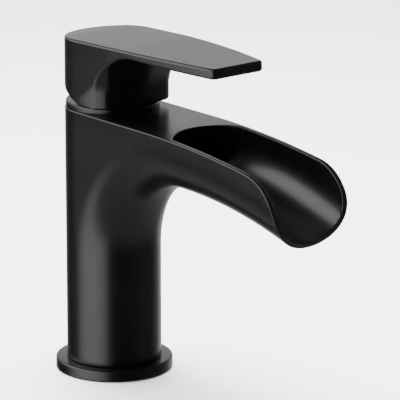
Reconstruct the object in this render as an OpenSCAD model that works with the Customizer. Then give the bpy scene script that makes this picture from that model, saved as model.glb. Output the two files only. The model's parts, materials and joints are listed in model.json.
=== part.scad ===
// Single-lever waterfall basin mixer: round column, open trough spout, tapered lever.
// Origin: centre of the base on the basin deck. +Z up, +X along the spout.

/* [Column] */
// Diameter of the round column and width of the spout
column_d = 42; // [41:0.5:52]
// Height of the flat top deck of the body
deck_z = 119.5; // [114:0.5:150]
// Diameter of the base flange
flange_d = 52; // [50:1:64]
// Thickness of the base flange
flange_h = 5; // [4:0.5:8]
// Largest inner radius of the bend under the spout
bend_r = 36.5; // [20:0.5:40]

/* [Spout] */
// Reach from the column axis to the front of the mouth
spout_reach = 132.6; // [125:0.2:165]
// Height of the level part of the spout, from its underside to the deck
spout_h = 26.3; // [24:0.1:27.5]
// How far the underside falls between the bend and the lip
spout_drop = 10.6; // [4:0.2:14]
// Where the underside starts to fall, from the column axis
fall_x = 58; // [45:1:70]
// Radius of the gentle fall of the top rims
rim_r = 490; // [400:10:900]
// Radius that rounds the rims down into the mouth
shoulder_r = 21; // [10:1:24]
// Radius of the mouth in side view
mouth_r = 26.6; // [22:0.2:34]
// Wall of the trough
trough_wall = 2.6; // [2:0.1:4]
// Distance of the trough's back wall from the column axis
trough_back = 54.7; // [44:0.1:62]
// Radius of the trough's back wall in plan
trough_back_r = 22.4; // [21:0.2:30]

/* [Lever] */
// Reach from the column axis to the lever's tip
lever_reach = 85.5; // [70:0.5:110]
// Width of the lever's tip
tip_w = 27.5; // [20:0.5:34]
// Height of the hub and lever together
handle_h = 30; // [28.5:0.5:36]
// Thickness of the lever at its tip
tip_t = 4.8; // [3.5:0.1:7]
// Radius of the arch under the lever
arch_r = 20; // [12:1:20]
// Largest lift of the lever
lift_max = 20; // [15:1:20]

/* [Cartridge] */
// Outer diameter of the ceramic cartridge
cartridge_d = 35; // [34:0.5:35.5]
// Radius of the rotor that carries the lever's stem
rotor_r = 11.5; // [11:0.1:11.8]
// Side of the square stem
stem_w = 7.9; // [7:0.1:8]
// Radius of the pivot pin
pin_r = 2; // [1.5:0.1:2.4]

/* [Fixings] */
// Diameter of the threaded stud
stud_d = 8; // [6:0.5:10]
// Thickness of the basin deck between flange and horseshoe
worktop_t = 20; // [10:1:35]
// Distance of the stud behind the column axis
stud_back = 9.5; // [9:0.1:10.5]
// Radius of the two inlet threads (M10 x 1, bored)
inlet_r = 4.5; // [4:0.1:4.6]

/* [Hidden] */
$fn = 96;
eps = 0.01;
seam = 0.02;  // step where the level channel meets the falling one

// Clearances
run_gap = 0.06;        // pins and shafts that turn
slip_gap = 0.15;       // stem in its slots
seat_gap = 0.1;        // cartridge in its bore
hub_gap = 0.3;         // handle above the collar
dome_gap = 1.2;        // hub cavity round the dome

// Column and spout
column_r = column_d / 2;
under_z = deck_z - spout_h;
axis_z = under_z + column_r;
fall_l = spout_reach - 2 - fall_x;
fall_r = (fall_l * fall_l + spout_drop * spout_drop) / (2 * spout_drop);
fall_angle = asin((spout_reach - fall_x) / fall_r);
trough_r = column_r - trough_wall;
spigot_r = column_r - 3;
bend = min(bend_r, fall_x - column_r - 0.5);
rim_start = trough_back - 10;
mouth_z = under_z + 1.3;

// Cartridge stack, counted down from the deck
nut_top = deck_z - 0.9;
nut_h = 5.6;
shoulder_z = nut_top - nut_h;
shell_r = cartridge_d / 2;
shell_wall = 2.3;
cavity_r = shell_r - shell_wall;
roof_t = 1.5;
seat_z = shoulder_z - 20.5;
base_flange_h = 2;
base_top = seat_z + 8.3;
disc_t = 2.6;
carrier_z = base_top + 2 * disc_t;
carrier_h = 3.6;
bore_r = shell_r + seat_gap;
thread_r = bore_r + 1;
neck_bore_r = rotor_r + run_gap;
neck_r = rotor_r + 2.1;
neck_top = deck_z + 4.5;
lug_angle = 16;
stop_h = 1.2;
inlet_x = 4.5;
inlet_y = 6;
port_r = 2.3;
outlet_x = -5;
outlet_r = 3;
duct_w = 6.4;
duct_z = seat_z + 3;
duct_h = 4;
inlet_depth = 14;
feed_r = 3;
way_w = 16;
way_h = 5;

// Lever pivot and the disc that it pushes
pivot_z = deck_z + 1.5;
tip_z = carrier_z + 2;
arm_l = pivot_z - tip_z;
disc_travel = arm_l * sin(lift_max);
disc_r = cavity_r - disc_travel / 2 - 1.2;
disc_x = -disc_travel / 2;
pocket_w = 8;
pocket_h = 1.4;
finger_w = 5;
finger_t = 3.8;
slot_y = stem_w / 2 + slip_gap;

// Collar, dome and handle
collar_h = 2.7;
collar_r = column_r - 0.4;
dome_r = 16.4;
dome_t = 1.5;
hub_z = deck_z + collar_h + hub_gap;
hub_r = column_r;
corner_r = 24.6;
crown = [2.6, 1.6, 1, 0.3, 0.1];
nose_r = 2.5;
nose_side = 0.4;
cavity_hub_r = dome_r + dome_gap;
top_z = hub_z + handle_h;
under_lever_z = top_z - tip_t;
front_r = 62;
front_x = 20.3;
front_c = front_x - front_r;
arch_z = top_z - 3.6;
boss_r = 7.5;
boss_z = pivot_z + 8;
socket_top = boss_z + 12.5;
screw_z = socket_top - 4.5;
screw_r = 2.5;
screw_l = 9;
cap_r = 3.4;
relief_start = 2;

// Below the deck
stud_r = stud_d / 2;
stud_grip = 16;
seal_t = 3;
plate_t = 2;
fixing_nut_h = 12;
shoe_r = 25;
shoe_slot = 12.5;
shoe_slot_x = inlet_x - inlet_r - 4;

// Points on an arc, from angle a0 to a1
function arc(c, r, a0, a1, n) =
  [for (i = [0:n]) c + r * [cos(a0 + (a1 - a0) * i / n), sin(a0 + (a1 - a0) * i / n)]];

// Meeting point of two circles, on the right-hand side of the line from a to b
function meet(a, ra, b, rb) =
  let (d = norm(b - a), u = (b - a) / d, k = (ra * ra - rb * rb + d * d) / (2 * d))
  a + k * u + sqrt(ra * ra - k * k) * [u[1], -u[0]];

function heading(v) = atan2(v[1], v[0]);

// Turns a drawing in X and Z into a slab across the whole width
module across(w) {
  translate([0, w / 2, 0]) rotate([90, 0, 0]) linear_extrude(w) children();
}

module tube(r_out, r_in, h) {
  difference() {
    cylinder(r = r_out, h = h);
    translate([0, 0, -1]) cylinder(r = r_in, h = h + 2);
  }
}

module cylinder_between(r, z0, z1) {
  translate([0, 0, z0]) cylinder(r = r, h = z1 - z0);
}

module at_inlets() {
  for (s = [-1, 1]) translate([inlet_x, s * inlet_y, 0]) children();
}

// U-shaped cross-section, with its round bottom at distance r0 from the turning axis
module u_section(r0, r) {
  translate([r0 + column_r, 0]) circle(r = r);
  translate([r0 + column_r, -r]) square([column_r, 2 * r]);
}

// Part of a U channel that falls along the spout, between two angles of the fall
module falling_channel(r, a0, a1) {
  translate([fall_x, 0, under_z - fall_r]) rotate([90, 0, 0]) rotate([0, 0, 90 - a1])
    rotate_extrude(angle = a1 - a0, $fn = 360) u_section(fall_r, r);
}

// Outside of the spout: a level U channel, then the falling one, past the mouth
module spout_outside() {
  translate([0, 0, axis_z]) rotate([0, 90, 0]) cylinder(r = column_r, h = fall_x);
  translate([0, -column_r, axis_z]) cube([fall_x, column_d, column_r]);
  falling_channel(column_r - seam, -0.4, fall_angle + 2);
}

// Side view of the body: level deck, falling rims, round shoulder and upright mouth
module side_view() {
  rim_c = [rim_start, deck_z - rim_r];
  mouth_c = [spout_reach - mouth_r, mouth_z];
  c = meet(rim_c, rim_r - shoulder_r, mouth_c, mouth_r - shoulder_r);
  a_rim = heading(c - rim_c);
  a_mouth = heading(c - mouth_c);
  polygon(concat(
    [[-column_r - 5, -1], [-column_r - 5, deck_z]],
    arc(rim_c, rim_r, 90, a_rim, 10),
    arc(c, shoulder_r, a_rim, a_mouth, 14),
    arc(mouth_c, mouth_r, a_mouth, -60, 14),
    [[mouth_c[0] + mouth_r / 2, -1]]
  ));
}

module body_outside() {
  cylinder(r = column_r, h = axis_z);
  translate([0, 0, axis_z - eps]) cylinder(r = column_r, h = deck_z - axis_z + 1);
  // Bend from the column into the spout, and flat flanks that close its inside
  c = [column_r + bend, under_z - bend];
  translate([c[0], 0, c[1]]) rotate([90, 0, 0]) rotate([0, 0, 90])
    rotate_extrude(angle = 90) translate([bend + column_r, 0]) circle(r = column_r);
  across(column_d - 2 * seam)
    polygon(concat([[0, axis_z + 1], [0, c[1]]], arc(c, c[0], 180, 90, 32), [[c[0], axis_z + 1]]));
  spout_outside();
}

module trough() {
  c = trough_back + trough_back_r;
  intersection() {
    falling_channel(trough_r, asin((trough_back - 3 - fall_x) / fall_r), fall_angle + 2);
    union() {
      translate([c, 0, under_z]) cylinder(r = trough_back_r, h = spout_h + 5);
      translate([c, -column_r, 0]) cube([spout_reach, column_d, deck_z + 5]);
    }
  }
}

module waterways() {
  at_inlets() {
    cylinder_between(inlet_r, -1, inlet_depth);
    cylinder_between(feed_r, 0, seat_z + 1);
  }
  // From the cartridge's window up to the foot of the trough's back wall
  floor_z = under_z + trough_wall + 2;
  slot_x = column_r - 2;
  translate([shell_r - 5, -way_w / 2, duct_z - 1])
    cube([12, way_w, floor_z + way_h - duct_z + 1]);
  translate([slot_x, -way_w / 2, floor_z]) cube([trough_back - slot_x + 1.5, way_w, way_h]);
}

module body_casting() {
  color("#262628") difference() {
    intersection() {
      body_outside();
      across(column_d + 10) side_view();
    }
    // Spigot that stands in the flange
    translate([0, 0, flange_h - 20]) tube(column_r + 5, spigot_r, 20);
    trough();
    waterways();
    translate([0, 0, seat_z]) cylinder(r = bore_r, h = deck_z);
    translate([0, 0, shoulder_z - 1]) cylinder(r = thread_r, h = deck_z);
    translate([-stud_back, 0, -1]) cylinder(r = stud_r, h = stud_grip + 1);
  }
}

module base_flange() {
  edge = 0.8;
  color("#262628") difference() {
    rotate_extrude() polygon(concat(
      [[spigot_r, 0], [flange_d / 2, 0]],
      arc([flange_d / 2 - edge, flange_h - edge], edge, 0, 90, 6),
      [[spigot_r, flange_h]]
    ));
    translate([0, 0, -1]) tube(spigot_r + 5, spigot_r + 1.5, 3);
  }
}

module base_seal() {
  color("#3a3a3a") tube(spigot_r + 5, spigot_r + 1.5, 2);
}

module collar_ring() {
  edge = 0.5;
  color("#2c2c2e") translate([0, 0, deck_z]) rotate_extrude() polygon(concat(
    [[dome_r + 0.2, 0], [collar_r, 0]],
    arc([collar_r - edge, collar_h - edge], edge, 0, 90, 5),
    [[dome_r + 0.2, collar_h]]
  ));
}

// Ball-shaped cap, centred on the lever's pivot, that fills the hub from below
module dome_cover() {
  rise = 6.8;
  color("#2c2c2e") difference() {
    union() {
      translate([0, 0, pivot_z]) sphere(r = dome_r);
      translate([0, 0, nut_top]) cylinder(r = dome_r + 1.2, h = deck_z - nut_top);
    }
    translate([0, 0, pivot_z]) sphere(r = dome_r - dome_t);
    translate([0, 0, pivot_z]) cylinder(r = neck_bore_r + 0.8, h = dome_r);
    translate([0, 0, pivot_z + rise]) cylinder(r = dome_r, h = dome_r);
    translate([0, 0, nut_top - dome_r]) cylinder(r = dome_r + 1, h = dome_r);
    translate([0, 0, nut_top - 1]) cylinder(r = neck_r + 0.2, h = 2.2);
  }
}

module cartridge_nut() {
  color("#b58a45") translate([0, 0, shoulder_z]) difference() {
    tube(thread_r, neck_r + 0.2, nut_h);
    for (a = [45:90:315]) rotate([0, 0, a])
      translate([neck_r + 1.7, -2.5, nut_h - 2]) cube([5, 5, 3]);
  }
}

module cartridge_shell() {
  groove_z = base_top + 3;
  color("#8a8f94") difference() {
    union() {
      translate([0, 0, seat_z + base_flange_h])
        cylinder(r = shell_r, h = shoulder_z - seat_z - base_flange_h);
      cylinder_between(neck_r, shoulder_z - eps, neck_top);
    }
    cylinder_between(cavity_r, seat_z, shoulder_z - roof_t);
    cylinder_between(neck_bore_r, seat_z, neck_top + 1);
    translate([cavity_r - 2, -5, duct_z]) cube([8, 10, duct_h]);
    translate([0, 0, groove_z]) tube(shell_r + 1, shell_r - 1.5, 2.4);
  }
}

module cartridge_base() {
  color("#d8d4c8") difference() {
    union() {
      cylinder_between(shell_r, seat_z, seat_z + base_flange_h);
      cylinder_between(cavity_r, seat_z, base_top);
    }
    at_inlets() {
      cylinder_between(port_r, seat_z - 1, base_top + 1);
      cylinder_between(port_r + 2.2, seat_z - 1, seat_z + 1.5);
      cylinder_between(port_r + 1.3, base_top - 0.9, base_top + 1);
    }
    translate([outlet_x, 0, 0]) cylinder_between(outlet_r, duct_z, base_top + 1);
    translate([outlet_x, 0, 0]) cylinder_between(outlet_r + 1.3, base_top - 0.9, base_top + 1);
    translate([outlet_x, -duct_w / 2, duct_z]) cube([shell_r + 6, duct_w, duct_h]);
  }
}

module port_seals() {
  color("#303030") at_inlets() translate([0, 0, seat_z]) tube(port_r + 2.2, port_r, 1.5);
}

module disc_seals() {
  color("#303030") {
    at_inlets() translate([0, 0, base_top - 0.9]) tube(port_r + 1.3, port_r, 0.9);
    translate([outlet_x, 0, base_top - 0.9]) tube(outlet_r + 1.3, outlet_r, 0.9);
  }
}

module cartridge_o_ring() {
  section = 0.8;
  color("#303030") translate([0, 0, base_top + 4.2]) rotate_extrude()
    translate([shell_r - 1.5 + section, 0]) circle(r = section, $fn = 24);
}

module fixed_disc() {
  color("#f0eee8") difference() {
    cylinder_between(cavity_r, base_top, base_top + disc_t);
    at_inlets() cylinder_between(port_r, base_top - 1, base_top + disc_t + 1);
    translate([outlet_x, 0, 0]) cylinder_between(outlet_r, base_top - 1, base_top + disc_t + 1);
  }
}

// Its pocket joins the inlets to the outlet once the lever has pushed it forwards
module moving_disc() {
  z = base_top + disc_t;
  color("#e6e2da") translate([disc_x, 0, 0]) difference() {
    cylinder_between(disc_r, z, z + disc_t);
    translate([-6, -pocket_w / 2, z - 1]) cube([9.5, pocket_w, pocket_h + 1]);
  }
}

module disc_carrier() {
  color("#4d6f8f") difference() {
    translate([disc_x, 0, 0]) cylinder_between(disc_r, carrier_z, carrier_z + carrier_h);
    translate([-finger_t / 2 - slip_gap, -finger_w / 2 - slip_gap, carrier_z])
      cube([finger_t + 2 * slip_gap, finger_w + 2 * slip_gap, carrier_h + 1]);
  }
}

module rotor() {
  flange_z = carrier_z + carrier_h + 0.2;
  top = neck_top + 1.4;
  color("#c9ccd0") difference() {
    union() {
      cylinder_between(rotor_r, flange_z, top);
      cylinder_between(cavity_r - 0.6, flange_z, shoulder_z - roof_t - 0.1);
      // Stop lug between the two ends of the temperature stop
      rotate([0, 0, -lug_angle / 2]) translate([0, 0, neck_top + 0.1])
        rotate_extrude(angle = lug_angle) translate([rotor_r - 1, 0]) square([2.2, stop_h - 0.1]);
    }
    translate([-8, -slot_y, flange_z - 1]) cube([17, 2 * slot_y, top]);
    translate([0, 20, pivot_z]) rotate([90, 0, 0]) cylinder(r = pin_r, h = 40);
  }
}

module temperature_stop() {
  color("#c8402f") translate([0, 0, neck_top]) {
    tube(neck_r + 0.2, rotor_r + 1.4, stop_h);
    rotate([0, 0, 55]) rotate_extrude(angle = 250)
      translate([rotor_r + 0.3, 0]) square([1.4, stop_h]);
  }
}

module pivot_pin() {
  color("#b9bcc0") translate([0, rotor_r - 0.8, pivot_z]) rotate([90, 0, 0])
    cylinder(r = pin_r, h = 2 * rotor_r - 1.6);
}

module lever_stem() {
  half = stem_w / 2;
  color("#b9bcc0") difference() {
    union() {
      translate([-half, -half, pivot_z + 1]) cube([stem_w, stem_w, socket_top - pivot_z - 1.3]);
      translate([0, half, pivot_z]) rotate([90, 0, 0]) cylinder(r = pin_r + 2.4, h = stem_w);
      translate([-1.2, -finger_w / 2, tip_z]) cube([2.4, finger_w, arm_l - 1]);
      translate([0, finger_w / 2, tip_z]) rotate([90, 0, 0])
        cylinder(r = finger_t / 2 - 0.1, h = finger_w);
    }
    translate([0, 20, pivot_z]) rotate([90, 0, 0]) cylinder(r = pin_r + run_gap, h = 40);
  }
}

// Plan of the handle: round back, straight flanks, then long arcs down to the tip
module handle_plan() {
  flank = 18;
  run = lever_reach - flank;
  fall = hub_r - tip_w / 2;
  side_r = (run * run + fall * fall) / (2 * fall);
  a_tip = asin(run / side_r);
  nose = [lever_reach - nose_r, tip_w / 2 - nose_r + nose_side];
  half = concat(
    arc([flank, hub_r - side_r], side_r, 90, 90 - a_tip * 0.96, 14),
    arc(nose, nose_r, 78, 0, 6)
  );
  polygon(concat(
    arc([0, 0], hub_r, 270, 90, 36),
    half,
    [for (i = [len(half) - 1:-1:0]) [half[i][0], -half[i][1]]]
  ));
}

// Round hub that flares outwards at the top as a round arch
module flared(r) {
  rotate_extrude($fn = 240) polygon(concat(
    [[0, hub_z], [r, hub_z]],
    arc([r + arch_r, arch_z - arch_r], arch_r, 180, 90, 16),
    [[r + arch_r, top_z + 1], [0, top_z + 1]]
  ));
}

// Hub with a bowed front and eased corners, which runs up into the lever
module hub_and_arch() {
  intersection() {
    translate([front_c, 0, 0]) flared(front_r);
    flared(corner_r);
  }
}

// Everything under the crowned top, seen from the side
module under_the_top() {
  polygon([
    [-hub_r - 1, hub_z - 1],
    [-hub_r - 1, top_z - crown[0]],
    [-hub_r / 2, top_z - crown[1]],
    [5, top_z - crown[2]],
    [30, top_z - crown[3]],
    [lever_reach * 0.7, top_z],
    [lever_reach + 1, top_z - crown[4]],
    [lever_reach + 1, hub_z - 1]
  ]);
}

// Everything above the lever's underside, seen from the side
module above_the_underside() {
  polygon([
    [0, arch_z],
    [front_x + arch_r - 4, arch_z],
    [lever_reach + 1, under_lever_z],
    [lever_reach + 1, top_z + 1],
    [0, top_z + 1]
  ]);
}

module handle_outside() {
  intersection() {
    translate([0, 0, hub_z]) linear_extrude(handle_h + 1) handle_plan();
    union() {
      hub_and_arch();
      across(3 * hub_r) above_the_underside();
    }
    across(3 * hub_r) under_the_top();
  }
}

module lever_handle() {
  roof_z = socket_top + 3.5;
  relief = lift_max + 1;
  far = hub_r + 10;
  color("#262628") difference() {
    handle_outside();
    // Room for the dome, round the boss that grips the stem
    difference() {
      cylinder_between(cavity_hub_r, hub_z - 1, roof_z);
      cylinder_between(boss_r, boss_z, roof_z + 1);
      translate([-cavity_hub_r - 1, -5, screw_z - 4]) cube([cavity_hub_r, 10, 20]);
    }
    translate([-stem_w / 2, -stem_w / 2, boss_z - 1]) cube([stem_w, stem_w, socket_top - boss_z + 1]);
    // The back of the hub is cut away so that the lever can lift
    across(3 * hub_r) polygon([
      [relief_start, hub_z], [-far, hub_z + (far + relief_start) * tan(relief)],
      [-far, hub_z - 5], [relief_start, hub_z - 5]
    ]);
    translate([-hub_r - 2, 0, screw_z]) rotate([0, 90, 0]) cylinder(r = screw_r, h = hub_r);
    translate([-hub_r - 2, 0, screw_z]) rotate([0, 90, 0]) cylinder(r = cap_r, h = 4.2);
  }
}

module grub_screw() {
  color("#9a9da1") translate([-stem_w / 2, 0, screw_z]) rotate([0, -90, 0]) difference() {
    cylinder(r = screw_r, h = screw_l);
    translate([0, 0, screw_l - 3]) cylinder(r = 1.44, h = 4, $fn = 6);
  }
}

module screw_cap() {
  color("#2c2c2e") intersection() {
    translate([-hub_r - 1, 0, screw_z]) rotate([0, 90, 0]) cylinder(r = cap_r, h = 3.2);
    cylinder_between(hub_r, hub_z, top_z);
  }
}

module threaded_stud() {
  low = worktop_t + seal_t + plate_t + fixing_nut_h + 12;
  color("#c2a25c") translate([-stud_back, 0, 0]) cylinder_between(stud_r, -low, stud_grip);
}

module horseshoe(z, t, gap) {
  translate([0, 0, z]) difference() {
    cylinder(r = shoe_r, h = t);
    translate([-stud_back, 0, -1]) cylinder(r = stud_r + gap, h = t + 2);
    translate([shoe_slot_x, -shoe_slot, -1]) cube([2 * shoe_r, 2 * shoe_slot, t + 2]);
  }
}

module horseshoe_seal() {
  color("#2f2f2f") horseshoe(-worktop_t - seal_t, seal_t, 0);
}

module horseshoe_plate() {
  color("#b4b7ba") horseshoe(-worktop_t - seal_t - plate_t, plate_t, 0.3);
}

module fixing_nut() {
  z = -worktop_t - seal_t - plate_t - fixing_nut_h;
  color("#c2a25c") translate([-stud_back, 0, z]) difference() {
    union() {
      cylinder(r = 7.5, h = fixing_nut_h, $fn = 6);
      translate([0, 0, fixing_nut_h - 1.5]) cylinder(r = 8.5, h = 1.5);
    }
    translate([0, 0, -1]) cylinder(r = stud_r, h = fixing_nut_h + 2);
  }
}

body_casting();
base_flange();
base_seal();
collar_ring();
dome_cover();
cartridge_nut();
cartridge_shell();
cartridge_base();
port_seals();
cartridge_o_ring();
disc_seals();
fixed_disc();
moving_disc();
disc_carrier();
rotor();
pivot_pin();
lever_stem();
temperature_stop();
lever_handle();
grub_screw();
screw_cap();
threaded_stud();
horseshoe_seal();
horseshoe_plate();
fixing_nut();
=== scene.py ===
# %% [markdown]
# # A waterfall basin mixer
#
# This lesson dresses the CAD model of a single-lever basin mixer. The mixer is a brass
# casting under a satin black finish: a round column that bends into an open trough,
# with a wide flat lever on top. The CAD nodes come in as a fixed frame, and everything
# here is in metres in that same frame: +Z up, +X along the spout.

# %% Load the frame
import json
import math

import bmesh
import bpy
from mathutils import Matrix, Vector

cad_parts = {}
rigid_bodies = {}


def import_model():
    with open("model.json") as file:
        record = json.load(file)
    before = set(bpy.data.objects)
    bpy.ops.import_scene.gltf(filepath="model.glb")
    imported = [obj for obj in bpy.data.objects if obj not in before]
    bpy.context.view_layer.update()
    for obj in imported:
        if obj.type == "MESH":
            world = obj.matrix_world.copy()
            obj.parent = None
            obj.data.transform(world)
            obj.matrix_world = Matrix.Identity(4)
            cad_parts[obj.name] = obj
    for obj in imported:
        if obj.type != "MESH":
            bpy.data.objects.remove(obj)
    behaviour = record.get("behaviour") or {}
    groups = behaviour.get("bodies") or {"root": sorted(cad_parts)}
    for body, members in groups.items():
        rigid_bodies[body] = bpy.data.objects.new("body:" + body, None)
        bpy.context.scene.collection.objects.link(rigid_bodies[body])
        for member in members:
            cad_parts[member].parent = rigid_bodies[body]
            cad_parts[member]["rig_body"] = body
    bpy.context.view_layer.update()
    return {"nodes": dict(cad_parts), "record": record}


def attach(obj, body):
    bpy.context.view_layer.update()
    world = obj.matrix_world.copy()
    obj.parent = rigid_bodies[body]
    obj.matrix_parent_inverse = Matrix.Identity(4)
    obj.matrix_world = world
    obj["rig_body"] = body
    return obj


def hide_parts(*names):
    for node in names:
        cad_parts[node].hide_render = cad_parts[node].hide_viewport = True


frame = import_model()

nodes = frame["nodes"]
MM = 0.001

# %% [markdown]
# Every finish is a small node tree. Two helpers are enough: one turns an sRGB hex
# colour into the linear numbers that a shader works in, and one adds a node with its
# settings and links. Each finish starts with Object coordinates, so that a pattern
# keeps its real size and stays with the piece when the lever moves.

# %% Helpers for materials
def linear(hex_colour):
    channels = [int(hex_colour[i:i + 2], 16) / 255 for i in (1, 3, 5)]
    return [c / 12.92 if c <= 0.04045 else ((c + 0.055) / 1.055) ** 2.4
            for c in channels] + [1.0]


def add(tree, kind, settings=None, **links):
    made = tree.nodes.new(kind)
    for name, value in (settings or {}).items():
        if name in made.inputs:
            made.inputs[name].default_value = value
        else:
            setattr(made, name, value)
    for name, socket in links.items():
        # A link named _0 goes to the first input, for nodes whose inputs share a name
        which = int(name[1:]) if name[1:].isdigit() else name.replace("_", " ")
        tree.links.new(socket, made.inputs[which])
    return made


def new_finish(name, **shader_settings):
    """A material with one Principled shader. Returns the material, its tree and shader."""
    material = bpy.data.materials.new(name)
    material.use_nodes = True
    tree = material.node_tree
    shader = tree.nodes["Principled BSDF"]
    for socket, value in shader_settings.items():
        shader.inputs[socket.replace("_", " ")].default_value = value
    return material, tree, shader


def per_mm(size_mm):
    """Noise scale for a pattern whose features repeat every size_mm."""
    return 1 / (size_mm * MM)


# A Mix node keeps its colour sockets after those for numbers and vectors
MIX_A, MIX_B, MIX_RESULT = 6, 7, 2
print("per_mm(9) gives a noise scale of", round(per_mm(9), 1))

# %% [markdown]
# The black finish on such a mixer is a satin lacquer or electroplate over polished
# brass. It is almost black in itself, and what the eye sees is the soft mirror image of
# the room: dim where the surface faces us and strong at a low angle, as on any clear
# varnish of index about 1.5. A coat dries with a faint orange peel a few millimetres
# across, and its gloss varies a little, so both go into the nodes at low strength.

# %% Satin black lacquer
def satin_black(name, colour="#050505", roughness=0.26):
    material, tree, shader = new_finish(name, Metallic=0.0, IOR=1.5)
    place = add(tree, "ShaderNodeTexCoord")
    cloud = add(tree, "ShaderNodeTexNoise", {"Scale": per_mm(9), "Detail": 3.0},
                Vector=place.outputs["Object"])
    gloss = add(tree, "ShaderNodeMapRange",
                {"To Min": roughness - 0.025, "To Max": roughness + 0.025},
                Value=cloud.outputs["Fac"])
    tree.links.new(gloss.outputs["Result"], shader.inputs["Roughness"])
    tint = add(tree, "ShaderNodeMix", {"data_type": "RGBA", "blend_type": "MIX"},
               Factor=cloud.outputs["Fac"])
    tint.inputs[MIX_A].default_value = linear(colour)
    tint.inputs[MIX_B].default_value = linear("#080808")
    tree.links.new(tint.outputs[MIX_RESULT], shader.inputs["Base Color"])
    peel = add(tree, "ShaderNodeTexNoise", {"Scale": per_mm(1.6), "Detail": 1.0},
               Vector=place.outputs["Object"])
    bump = add(tree, "ShaderNodeBump", {"Strength": 0.06, "Distance": 0.02 * MM},
               Height=peel.outputs["Fac"])
    tree.links.new(bump.outputs["Normal"], shader.inputs["Normal"])
    return material


black = satin_black("satin_black_lacquer")
print("made", black.name)

# %% [markdown]
# Inside and below the deck are the parts that a plumber meets: the pin, nut and stud.
# Brass and zinc-plated steel are bare metal here. A lathe leaves fine rings round the
# axis, and handling leaves a cloudy change of gloss. An image of brushed metal would be
# another way, but a wave along Z needs no unwrapping and keeps its real pitch.

# %% Metals
def turned_metal(name, colour, dark, roughness):
    """Metal turned on a lathe about the Z axis, with tool rings 0.5 mm apart."""
    material, tree, shader = new_finish(name, Metallic=1.0)
    place = add(tree, "ShaderNodeTexCoord")
    rings = add(tree, "ShaderNodeTexWave",
                {"wave_type": "BANDS", "bands_direction": "Z", "Scale": per_mm(0.5) / 6.283,
                 "Distortion": 0.6, "Detail": 2.0},
                Vector=place.outputs["Object"])
    grime = add(tree, "ShaderNodeTexNoise", {"Scale": per_mm(6), "Detail": 4.0},
                Vector=place.outputs["Object"])
    tint = add(tree, "ShaderNodeMix", {"data_type": "RGBA"}, Factor=grime.outputs["Fac"])
    tint.inputs[MIX_A].default_value = linear(dark)
    tint.inputs[MIX_B].default_value = linear(colour)
    tree.links.new(tint.outputs[MIX_RESULT], shader.inputs["Base Color"])
    gloss = add(tree, "ShaderNodeMapRange",
                {"To Min": roughness - 0.06, "To Max": roughness + 0.08},
                Value=grime.outputs["Fac"])
    tree.links.new(gloss.outputs["Result"], shader.inputs["Roughness"])
    bump = add(tree, "ShaderNodeBump", {"Strength": 0.15, "Distance": 0.03 * MM},
               Height=rings.outputs["Fac"])
    tree.links.new(bump.outputs["Normal"], shader.inputs["Normal"])
    return material


# Turned brass is warm and fairly bright, with a brown tone where it has dulled
brass = turned_metal("turned_brass", "#c8a45c", "#a07d3d", 0.28)
# Zinc plating is a cold pale grey, a little duller than bare steel
steel = turned_metal("zinc_plated_steel", "#c2c5c9", "#989ca2", 0.32)
print("made", brass.name, "and", steel.name)

# %% [markdown]
# The cartridge is mostly acetal plastic, with rubber seals and two alumina discs. They
# could each have a tree of their own, but all of them are one colour that drifts a
# little over a fine grain. One function makes them, and the gloss tells them apart.

# %% Plastics, rubber and ceramic
def moulded(name, colour, worn, roughness, grain_mm, ior):
    """A moulded or pressed material: one colour that drifts slightly, and a fine grain."""
    material, tree, shader = new_finish(name, Metallic=0.0, IOR=ior)
    place = add(tree, "ShaderNodeTexCoord")
    drift = add(tree, "ShaderNodeTexNoise", {"Scale": per_mm(8), "Detail": 3.0},
                Vector=place.outputs["Object"])
    tint = add(tree, "ShaderNodeMix", {"data_type": "RGBA"}, Factor=drift.outputs["Fac"])
    tint.inputs[MIX_A].default_value = linear(colour)
    tint.inputs[MIX_B].default_value = linear(worn)
    tree.links.new(tint.outputs[MIX_RESULT], shader.inputs["Base Color"])
    gloss = add(tree, "ShaderNodeMapRange",
                {"To Min": roughness - 0.05, "To Max": roughness + 0.05},
                Value=drift.outputs["Fac"])
    tree.links.new(gloss.outputs["Result"], shader.inputs["Roughness"])
    grain = add(tree, "ShaderNodeTexNoise", {"Scale": per_mm(grain_mm), "Detail": 2.0},
                Vector=place.outputs["Object"])
    bump = add(tree, "ShaderNodeBump", {"Strength": 0.2, "Distance": 0.03 * MM},
               Height=grain.outputs["Fac"])
    tree.links.new(bump.outputs["Normal"], shader.inputs["Normal"])
    return material


# EPDM rubber is a dull dark grey, which takes almost no highlight
rubber = moulded("black_epdm_rubber", "#1d1d1e", "#29292a", 0.75, 0.5, 1.52)
# Moulded acetal has a soft waxy sheen, whatever its pigment
grey_plastic = moulded("grey_acetal_plastic", "#83888d", "#90959a", 0.42, 0.4, 1.48)
pale_plastic = moulded("natural_acetal_plastic", "#dcd8cc", "#cfcabc", 0.4, 0.4, 1.48)
blue_plastic = moulded("blue_acetal_plastic", "#48698a", "#557797", 0.4, 0.4, 1.48)
red_plastic = moulded("red_acetal_plastic", "#bb3a2b", "#a83325", 0.4, 0.4, 1.48)
# Lapped alumina is nearly white and as smooth as glass
ceramic = moulded("polished_alumina_ceramic", "#f1efe9", "#e7e4dc", 0.16, 0.8, 1.77)
print("made the plastics, the rubber and the ceramic")

# %% [markdown]
# The record already says which material slot each CAD node belongs to, so one loop
# gives every node its finish.

# %% Finish the CAD nodes
FINISHES = {
    "black_finish": black, "rubber": rubber, "brass": brass, "steel": steel,
    "grey_plastic": grey_plastic, "pale_plastic": pale_plastic,
    "blue_plastic": blue_plastic, "red_plastic": red_plastic, "ceramic": ceramic,
}


def give(obj, material):
    obj.data.materials.clear()
    obj.data.materials.append(material)


for part in frame["record"]["subparts"]:
    give(nodes[part["node"]], FINISHES[part["material_slot"]])

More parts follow.
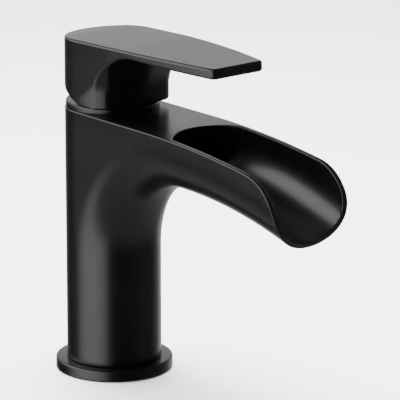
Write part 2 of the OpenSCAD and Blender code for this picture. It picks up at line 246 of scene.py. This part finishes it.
# %% [markdown]
# A cast and polished body has no knife edges: the rims of the trough, the edge of the
# deck and the mouth are rounded by polishing and again by the lacquer. These small radii
# catch the light as thin bright lines. They could be modelled again by hand, but the
# shape is already right in the CAD node. So a copy of it is merged, its flat faces are
# joined, and a Bevel modifier rounds its outer corners. Without the joining, thin
# triangles next to an edge would pinch the bevel.

# %% Rounded copies of the black parts
SHARP_DEG = 35


def rounded_copy(node, name, width_mm, segments, join_mm=0.002, flat_deg=1.0):
    """A copy of a CAD node with rounded outer corners, which takes the node's place."""
    mesh = nodes[node].data.copy()
    mesh.name = name
    bm = bmesh.new()
    bm.from_mesh(mesh)
    bmesh.ops.remove_doubles(bm, verts=bm.verts, dist=join_mm * MM)
    bmesh.ops.dissolve_degenerate(bm, edges=bm.edges, dist=join_mm * MM)
    bmesh.ops.dissolve_limit(bm, angle_limit=math.radians(flat_deg), verts=bm.verts,
                             edges=bm.edges)
    for face in bm.faces:
        face.smooth = True
    # Polishing rounds the outer corners only, so an inner corner gets no bevel weight
    weight = bm.edges.layers.float.new("bevel_weight_edge")
    for edge in bm.edges:
        outer = edge.is_manifold and edge.is_convex
        if outer and edge.calc_face_angle() > math.radians(SHARP_DEG):
            edge[weight] = 1.0
    bm.to_mesh(mesh)
    bm.free()
    # The node's own normals belong to its loose triangles and no longer fit the copy
    for attribute in [a for a in mesh.attributes if a.name == "custom_normal"]:
        mesh.attributes.remove(attribute)
    mesh.set_sharp_from_angle(angle=math.radians(SHARP_DEG))
    piece = bpy.data.objects.new(name, mesh)
    bpy.context.scene.collection.objects.link(piece)
    bevel = piece.modifiers.new("rounded_edges", "BEVEL")
    bevel.width = width_mm * MM
    bevel.segments = segments
    bevel.limit_method = "WEIGHT"
    bevel.harden_normals = True
    bevel.use_clamp_overlap = False
    give(piece, black)
    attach(piece, frame["nodes"][node]["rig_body"])
    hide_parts(node)
    print(name, "has", len(mesh.vertices), "vertices before the bevel")


rounded_copy("body_casting", "body_casting_rounded", 0.6, 4, join_mm=0.2, flat_deg=0.05)
rounded_copy("lever_handle", "lever_rounded", 1.1, 4, flat_deg=1.5)
rounded_copy("base_flange", "flange_rounded", 0.5, 3)
rounded_copy("collar_ring", "collar_rounded", 0.25, 3)

# %% [markdown]
# The camera stands to the front right of the spout, slightly above it. A long lens a
# metre and a half away keeps the column's sides parallel.

# %% Camera
VIEW_AZIMUTH = math.radians(50.5)
VIEW_ELEVATION = math.radians(15.3)
VIEW_DISTANCE = 1.512
SENSOR_MM = 36
LENS_MM = 318.5
look_at = Vector((0.060, 0, 0.0887))
away = Vector((math.sin(VIEW_AZIMUTH) * math.cos(VIEW_ELEVATION),
               -math.cos(VIEW_AZIMUTH) * math.cos(VIEW_ELEVATION),
               math.sin(VIEW_ELEVATION)))
lens = bpy.data.cameras.new("camera")
lens.sensor_width = SENSOR_MM
lens.lens = LENS_MM
lens.clip_end = 20
camera = bpy.data.objects.new("camera", lens)
camera.location = look_at + VIEW_DISTANCE * away
camera.rotation_euler = away.to_track_quat("Z", "Y").to_euler()
bpy.context.scene.collection.objects.link(camera)
bpy.context.scene.camera = camera
print("camera at", [round(c, 3) for c in camera.location])

# %% [markdown]
# A black shiny thing is lit by what it reflects. The studio is a soft ring of light
# round the object: a broad softbox to the left, white walls behind, a dark wall on the
# camera's side, and a bright ceiling towards the back. The ring is painted on the world
# by compass direction, with a colour ramp, and a soft lamp above gives the floor its
# gentle shadow.

# %% Studio walls
world = bpy.data.worlds.new("studio")
bpy.context.scene.world = world
world.use_nodes = True
tree = world.node_tree
tree.nodes.clear()
direction = add(tree, "ShaderNodeTexCoord")
split = add(tree, "ShaderNodeSeparateXYZ", Vector=direction.outputs["Generated"])
compass = add(tree, "ShaderNodeMath", {"operation": "ARCTAN2"},
              _0=split.outputs["Y"], _1=split.outputs["X"])
turn = add(tree, "ShaderNodeMapRange",
           {"From Min": -math.pi, "From Max": math.pi}, Value=compass.outputs[0])

# Each ring lists (compass angle in degrees from +X towards +Y, brightness)
LOW = [(-180, 0.04), (-165, 0.03), (-150, 0.06), (-141, 0.12), (-134, 0.6), (-124, 1.6),
       (-112, 2.5), (-90, 3.0), (-75, 2.7), (-60, 1.9), (-50, 0.3), (-42, 0.0), (-10, 0.0),
       (12, 0.05), (30, 0.12), (66, 0.12), (80, 0.22), (94, 0.5), (106, 0.95),
       (150, 1.05), (165, 0.3), (180, 0.04)]
MIDDLE = [(-180, 0.5), (-165, 1.4), (-150, 3.0), (-130, 3.9), (-100, 3.6), (-80, 2.8),
          (-60, 1.8), (-50, 0.3), (-42, 0.0), (0, 0.04), (40, 0.12), (80, 0.3),
          (100, 0.9), (140, 1.08), (160, 0.9), (180, 0.5)]
HIGH = [(-180, 0.6), (-165, 1.8), (-150, 3.2), (-130, 4.0), (-100, 3.6), (-75, 2.2),
        (-50, 0.4), (-42, 0.0), (0, 0.03), (90, 0.08), (130, 0.04), (150, 0.1),
        (165, 0.2), (180, 0.6)]
# Brightness of the floor side and of the ceiling, and the brightest value of all
BELOW, CEILING = 0.35, 0.12
PEAK = 4.0


def ring(stops):
    ramp = add(tree, "ShaderNodeValToRGB", {}, Fac=turn.outputs["Result"])
    elements = ramp.color_ramp.elements
    while len(elements) > 1:
        elements.remove(elements[-1])
    for i, (angle, bright) in enumerate(stops):
        element = elements[0] if i == 0 else elements.new((angle + 180) / 360)
        element.position = (angle + 180) / 360
        element.color = [bright / PEAK] * 3 + [1]
    return ramp.outputs["Color"]


def above(below, over, low_el, high_el):
    """One ring fades into the next between two elevations, in degrees."""
    rise = add(tree, "ShaderNodeMapRange",
               {"interpolation_type": "SMOOTHSTEP", "From Min": math.sin(math.radians(low_el)),
                "From Max": math.sin(math.radians(high_el))}, Value=split.outputs["Z"])
    blend = add(tree, "ShaderNodeMix", {"data_type": "RGBA"}, Factor=rise.outputs["Result"])
    for socket, colour in ((MIX_A, below), (MIX_B, over)):
        if isinstance(colour, float):
            blend.inputs[socket].default_value = [colour / PEAK] * 3 + [1]
        else:
            tree.links.new(colour, blend.inputs[socket])
    return blend.outputs[MIX_RESULT]


sky = above(BELOW, ring(LOW), -34, -22)
sky = above(sky, ring(MIDDLE), -10, 4)
sky = above(sky, ring(HIGH), 20, 30)
sky = above(sky, CEILING, 46, 57)
shine = add(tree, "ShaderNodeBackground", {"Strength": PEAK}, Color=sky)
add(tree, "ShaderNodeOutputWorld", {}, Surface=shine.outputs[0])
print("studio walls in three rings of", len(LOW), len(MIDDLE), len(HIGH), "stops")

# %% [markdown]
# The floor is a plain pale sheet under the flange, and a round soft lamp above it gives
# a faint shadow. The lamp is kept out of mirror images, because the painted walls
# already hold everything that the black finish reflects.

# %% Floor and lamp
FLOOR_HALF_M = 3.0
FLOOR_DROP_M = 0.0002
LAMP_SIZE_M = 0.9
LAMP_WATTS = 100
LAMP_PLACE = (-0.2, 0.1, 1.1)
floor_mesh = bpy.data.meshes.new("floor")
bm = bmesh.new()
bmesh.ops.create_grid(bm, x_segments=1, y_segments=1, size=FLOOR_HALF_M)
bm.to_mesh(floor_mesh)
bm.free()
floor = bpy.data.objects.new("floor", floor_mesh)
floor.location = (0, 0, -FLOOR_DROP_M)
bpy.context.scene.collection.objects.link(floor)
paint, paint_tree, paint_shader = new_finish("pale_floor", Roughness=0.3, IOR=1.45)
paint_shader.inputs["Base Color"].default_value = linear("#f1f1f2")
give(floor, paint)
# A black object mirrors a pale floor, so the floor is left out of its reflections
floor.visible_glossy = False
floor.visible_shadow = False

lamp_data = bpy.data.lights.new("soft_lamp", "AREA")
lamp_data.shape = "DISK"
lamp_data.size = LAMP_SIZE_M
lamp_data.energy = LAMP_WATTS
lamp = bpy.data.objects.new("soft_lamp", lamp_data)
lamp.location = LAMP_PLACE
lamp.visible_glossy = False
lamp.rotation_euler = (Vector(lamp.location) - look_at).to_track_quat("Z", "Y").to_euler()
bpy.context.scene.collection.objects.link(lamp)
print("floor and lamp are in place")
